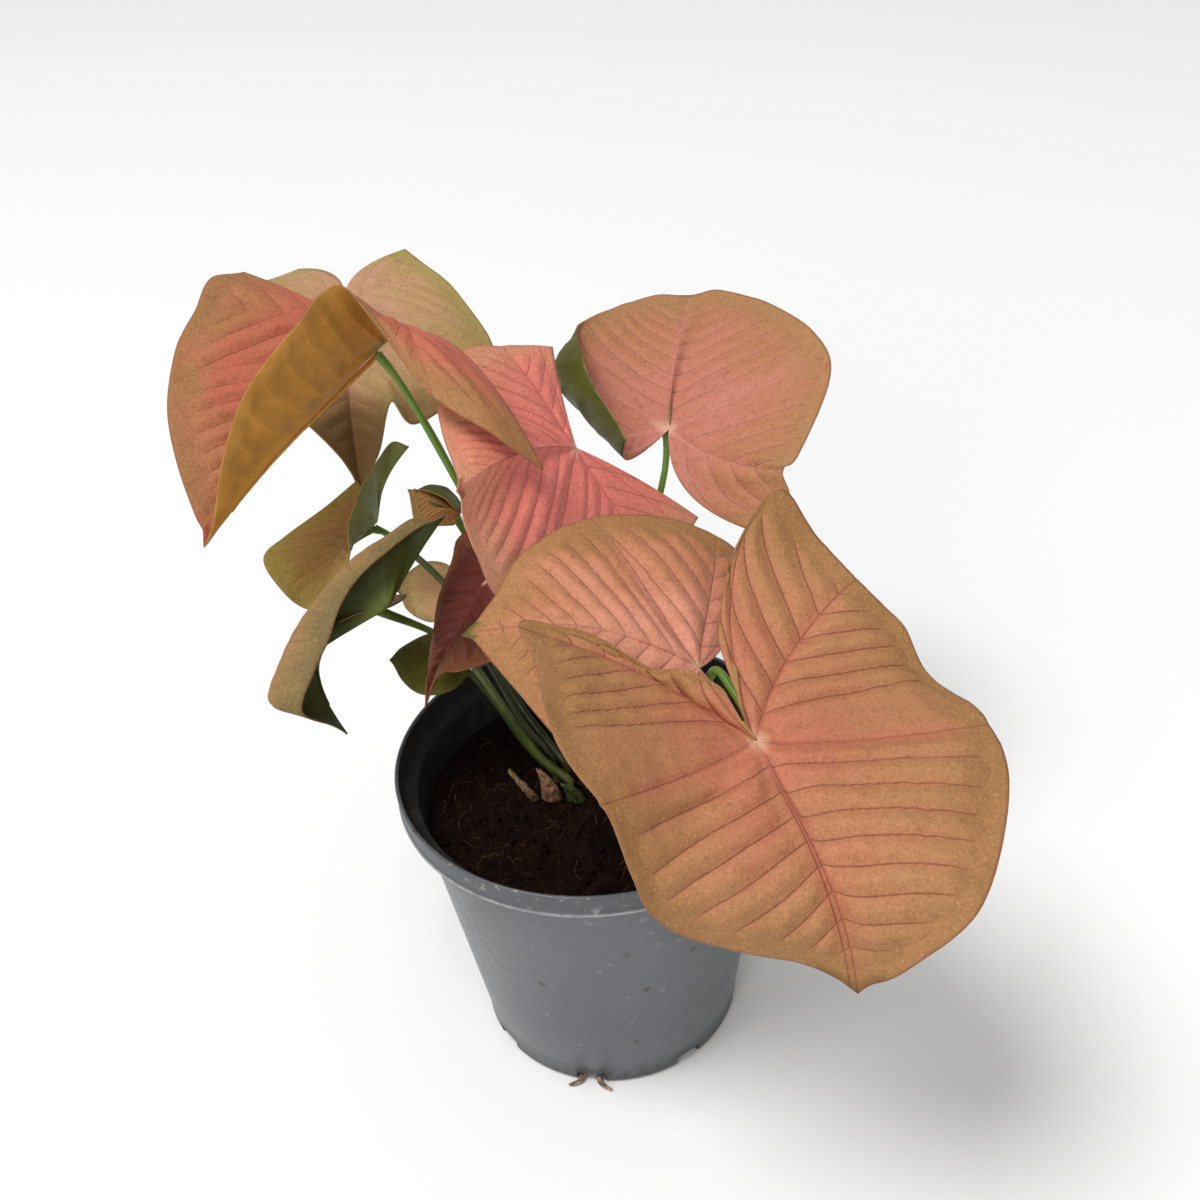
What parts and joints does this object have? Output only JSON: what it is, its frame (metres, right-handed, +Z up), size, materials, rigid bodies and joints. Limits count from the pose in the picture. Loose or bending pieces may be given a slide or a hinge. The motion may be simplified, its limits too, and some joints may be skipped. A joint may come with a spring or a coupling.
{
  "type": "potted arrowhead plant",
  "caption": "Arrowhead plant with broad, drooping pink and tan leaves on thin green stalks, in a round tapered grey nursery pot filled with dark soil.",
  "frame": {"origin": "centre of the pot's flat base, on the surface that it stands on", "axes": "+Z up along the pot's axis, -Y towards the viewer of the front, +X to the viewer's right"},
  "size_m": [0.2051, 0.2558, 0.2382],
  "materials": {
    "pot_plastic": "thin grey nursery plastic, satin",
    "soil": "dark peat potting mix with short fibres",
    "leaf_pink": "soft satin leaf, salmon pink to tan with darker pink veins",
    "leaf_olive": "soft satin leaf, tan to olive",
    "stem_green": "smooth green leaf stalk",
    "sheath": "dry, thin sheath",
    "root": "pale, dry root tip"
  },
  "bodies": {
    "root": {"pot": "pot_plastic", "soil": "soil", "leaf_front": "leaf_pink", "leaf_inner": "leaf_pink", "leaf_middle": "leaf_pink", "leaf_right": "leaf_pink", "leaf_tall": "leaf_pink", "leaf_back": "leaf_olive", "leaf_curled": "leaf_olive", "leaf_left": "leaf_olive", "leaf_shaded": "leaf_pink", "leaf_folded": "leaf_olive", "leaf_low": "leaf_olive", "leaf_small": "leaf_pink", "stem_front": "stem_green", "stem_inner": "stem_green", "stem_middle": "stem_green", "stem_right": "stem_green", "stem_tall": "stem_green", "stem_back": "stem_green", "stem_curled": "stem_green", "stem_left": "stem_green", "stem_shaded": "stem_green", "stem_folded": "stem_green", "stem_low": "stem_green", "stem_small": "stem_green", "sheath_withered": "sheath", "sheath_pink": "sheath", "sheath_green": "sheath", "root_front": "root", "root_left": "root"}
  },
  "joints": []
}
